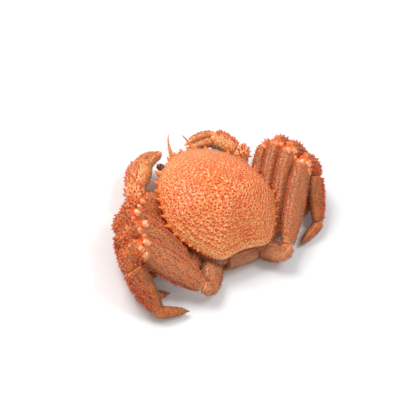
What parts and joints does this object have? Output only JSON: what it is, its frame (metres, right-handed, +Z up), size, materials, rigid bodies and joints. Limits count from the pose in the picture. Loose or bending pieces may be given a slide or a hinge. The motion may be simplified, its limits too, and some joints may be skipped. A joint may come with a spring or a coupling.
{
  "type": "horsehair crab",
  "caption": "Still life-size model of a boiled horsehair crab lying on its belly with legs and claws folded close; spiny round shell.",
  "frame": {"origin": "on the floor under the middle of the body, on the flat of the folded tail flap", "axes": "+Z up, head to -Y, the crab's own left side to +X"},
  "size_m": [0.2227, 0.1445, 0.0561],
  "materials": {
    "shell": "granular orange-red shell, satin",
    "limb": "brown-orange shell under short stiff bristles",
    "claw": "pink-cream shell with red-orange spines",
    "underside": "pale cream shell",
    "eye": "dark, glossy"
  },
  "bodies": {
    "root": {"abdomen": "underside", "carapace": "shell", "left_antenna": "shell", "left_claw_arm": "claw", "left_claw_carpus": "claw", "left_claw_finger": "claw", "left_claw_palm": "claw", "left_eye": "eye", "left_leg1_carpus": "limb", "left_leg1_coxa": "limb", "left_leg1_dactyl": "limb", "left_leg1_merus": "limb", "left_leg1_propodus": "limb", "left_leg2_carpus": "limb", "left_leg2_coxa": "limb", "left_leg2_dactyl": "limb", "left_leg2_merus": "limb", "left_leg2_propodus": "limb", "left_leg3_carpus": "limb", "left_leg3_coxa": "limb", "left_leg3_dactyl": "limb", "left_leg3_merus": "limb", "left_leg3_propodus": "limb", "left_leg4_carpus": "limb", "left_leg4_coxa": "limb", "left_leg4_dactyl": "limb", "left_leg4_merus": "limb", "left_leg4_propodus": "limb", "left_mouthpart": "claw", "right_antenna": "shell", "right_claw_arm": "claw", "right_claw_carpus": "claw", "right_claw_finger": "claw", "right_claw_palm": "claw", "right_eye": "eye", "right_leg1_carpus": "limb", "right_leg1_coxa": "limb", "right_leg1_dactyl": "limb", "right_leg1_merus": "limb", "right_leg1_propodus": "limb", "right_leg2_carpus": "limb", "right_leg2_coxa": "limb", "right_leg2_dactyl": "limb", "right_leg2_merus": "limb", "right_leg2_propodus": "limb", "right_leg3_carpus": "limb", "right_leg3_coxa": "limb", "right_leg3_dactyl": "limb", "right_leg3_merus": "limb", "right_leg3_propodus": "limb", "right_leg4_carpus": "limb", "right_leg4_coxa": "limb", "right_leg4_dactyl": "limb", "right_leg4_merus": "limb", "right_leg4_propodus": "limb", "right_mouthpart": "claw", "thorax": "underside"}
  },
  "joints": []
}
